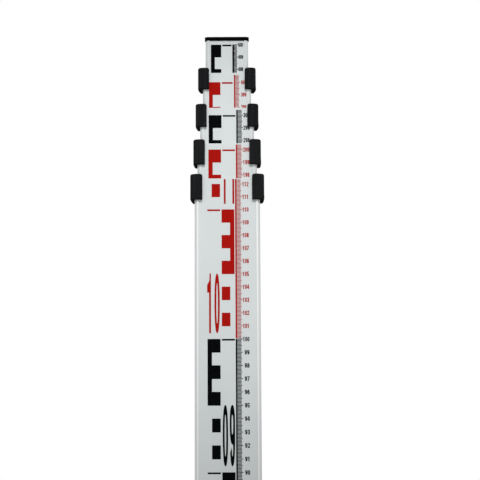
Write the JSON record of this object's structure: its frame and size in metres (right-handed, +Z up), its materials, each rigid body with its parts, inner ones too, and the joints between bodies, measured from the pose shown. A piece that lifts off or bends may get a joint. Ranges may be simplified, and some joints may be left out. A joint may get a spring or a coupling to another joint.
{
  "type": "leveling staff",
  "caption": "Telescopic aluminium leveling staff, closed: nested white-faced rectangular sections with a printed scale, black side catches at each section's end, a foot cap and a top cap.",
  "frame": {"origin": "centre of the foot's underside, where the printed scale reads zero", "axes": "+Z up along the staff, printed face towards -Y, +X to the right of the printed face"},
  "size_m": [0.058, 0.0359, 1.2407],
  "materials": {
    "white_aluminium": "satin white anodised and lacquered aluminium extrusion",
    "black_plastic": "moulded black plastic, fine texture",
    "guide_plastic": "moulded dark nylon",
    "steel": "bright steel",
    "rivet_aluminium": "plain aluminium rivet"
  },
  "bodies": {
    "section_1": {"section_1": "white_aluminium", "foot_cap": "black_plastic", "foot_screws": "steel", "clip_housing_1_left": "black_plastic", "pivot_pin_1_left": "steel", "leaf_spring_1_left": "steel", "clip_housing_1_right": "black_plastic", "pivot_pin_1_right": "steel", "leaf_spring_1_right": "steel", "clip_rivets_1": "rivet_aluminium"},
    "section_2": {"section_2": "white_aluminium", "guide_shoe_2": "guide_plastic", "shoe_rivets_2": "rivet_aluminium", "clip_housing_2_left": "black_plastic", "pivot_pin_2_left": "steel", "leaf_spring_2_left": "steel", "clip_housing_2_right": "black_plastic", "pivot_pin_2_right": "steel", "leaf_spring_2_right": "steel", "clip_rivets_2": "rivet_aluminium"},
    "section_3": {"section_3": "white_aluminium", "guide_shoe_3": "guide_plastic", "shoe_rivets_3": "rivet_aluminium", "clip_housing_3_left": "black_plastic", "pivot_pin_3_left": "steel", "leaf_spring_3_left": "steel", "clip_housing_3_right": "black_plastic", "pivot_pin_3_right": "steel", "leaf_spring_3_right": "steel", "clip_rivets_3": "rivet_aluminium"},
    "section_4": {"section_4": "white_aluminium", "guide_shoe_4": "guide_plastic", "shoe_rivets_4": "rivet_aluminium", "clip_housing_4_left": "black_plastic", "pivot_pin_4_left": "steel", "leaf_spring_4_left": "steel", "clip_housing_4_right": "black_plastic", "pivot_pin_4_right": "steel", "leaf_spring_4_right": "steel", "clip_rivets_4": "rivet_aluminium"},
    "section_5": {"section_5": "white_aluminium", "top_cap": "black_plastic", "guide_shoe_5": "guide_plastic", "shoe_rivets_5": "rivet_aluminium"},
    "rocker_1_left": {"rocker_1_left": "black_plastic"},
    "rocker_1_right": {"rocker_1_right": "black_plastic"},
    "rocker_2_left": {"rocker_2_left": "black_plastic"},
    "rocker_2_right": {"rocker_2_right": "black_plastic"},
    "rocker_3_left": {"rocker_3_left": "black_plastic"},
    "rocker_3_right": {"rocker_3_right": "black_plastic"},
    "rocker_4_left": {"rocker_4_left": "black_plastic"},
    "rocker_4_right": {"rocker_4_right": "black_plastic"}
  },
  "joints": [
    {"name": "section_2_slide", "type": "slide", "parent": "section_1", "child": "section_2", "axis": [0, 0, 1], "range_m": [0, 0.8523]},
    {"name": "section_3_slide", "type": "slide", "parent": "section_2", "child": "section_3", "axis": [0, 0, 1], "range_m": [0, 0.972]},
    {"name": "section_4_slide", "type": "slide", "parent": "section_3", "child": "section_4", "axis": [0, 0, 1], "range_m": [0, 0.9728]},
    {"name": "section_5_slide", "type": "slide", "parent": "section_4", "child": "section_5", "axis": [0, 0, 1], "range_m": [0, 0.9687]},
    {"name": "rocker_1_left_press", "type": "hinge", "parent": "section_1", "child": "rocker_1_left", "pos_m": [-0.027, 0, 1.1195], "axis": [0, -1, 0], "range_deg": [0, 8], "stiffness_Nm_per_rad": 0.15, "deforming": ["leaf_spring_1_left"]},
    {"name": "rocker_1_right_press", "type": "hinge", "parent": "section_1", "child": "rocker_1_right", "pos_m": [0.027, 0, 1.1195], "axis": [0, 1, 0], "range_deg": [0, 8], "stiffness_Nm_per_rad": 0.15, "deforming": ["leaf_spring_1_right"]},
    {"name": "rocker_2_left_press", "type": "hinge", "parent": "section_2", "child": "rocker_2_left", "pos_m": [-0.0249, 0, 1.1477], "axis": [0, -1, 0], "range_deg": [0, 8], "stiffness_Nm_per_rad": 0.15, "deforming": ["leaf_spring_2_left"]},
    {"name": "rocker_2_right_press", "type": "hinge", "parent": "section_2", "child": "rocker_2_right", "pos_m": [0.0249, 0, 1.1477], "axis": [0, 1, 0], "range_deg": [0, 8], "stiffness_Nm_per_rad": 0.15, "deforming": ["leaf_spring_2_right"]},
    {"name": "rocker_3_left_press", "type": "hinge", "parent": "section_3", "child": "rocker_3_left", "pos_m": [-0.0228, 0, 1.1767], "axis": [0, -1, 0], "range_deg": [0, 8], "stiffness_Nm_per_rad": 0.15, "deforming": ["leaf_spring_3_left"]},
    {"name": "rocker_3_right_press", "type": "hinge", "parent": "section_3", "child": "rocker_3_right", "pos_m": [0.0228, 0, 1.1767], "axis": [0, 1, 0], "range_deg": [0, 8], "stiffness_Nm_per_rad": 0.15, "deforming": ["leaf_spring_3_right"]},
    {"name": "rocker_4_left_press", "type": "hinge", "parent": "section_4", "child": "rocker_4_left", "pos_m": [-0.0207, 0, 1.2056], "axis": [0, -1, 0], "range_deg": [0, 8], "stiffness_Nm_per_rad": 0.15, "deforming": ["leaf_spring_4_left"]},
    {"name": "rocker_4_right_press", "type": "hinge", "parent": "section_4", "child": "rocker_4_right", "pos_m": [0.0207, 0, 1.2056], "axis": [0, 1, 0], "range_deg": [0, 8], "stiffness_Nm_per_rad": 0.15, "deforming": ["leaf_spring_4_right"]}
  ]
}
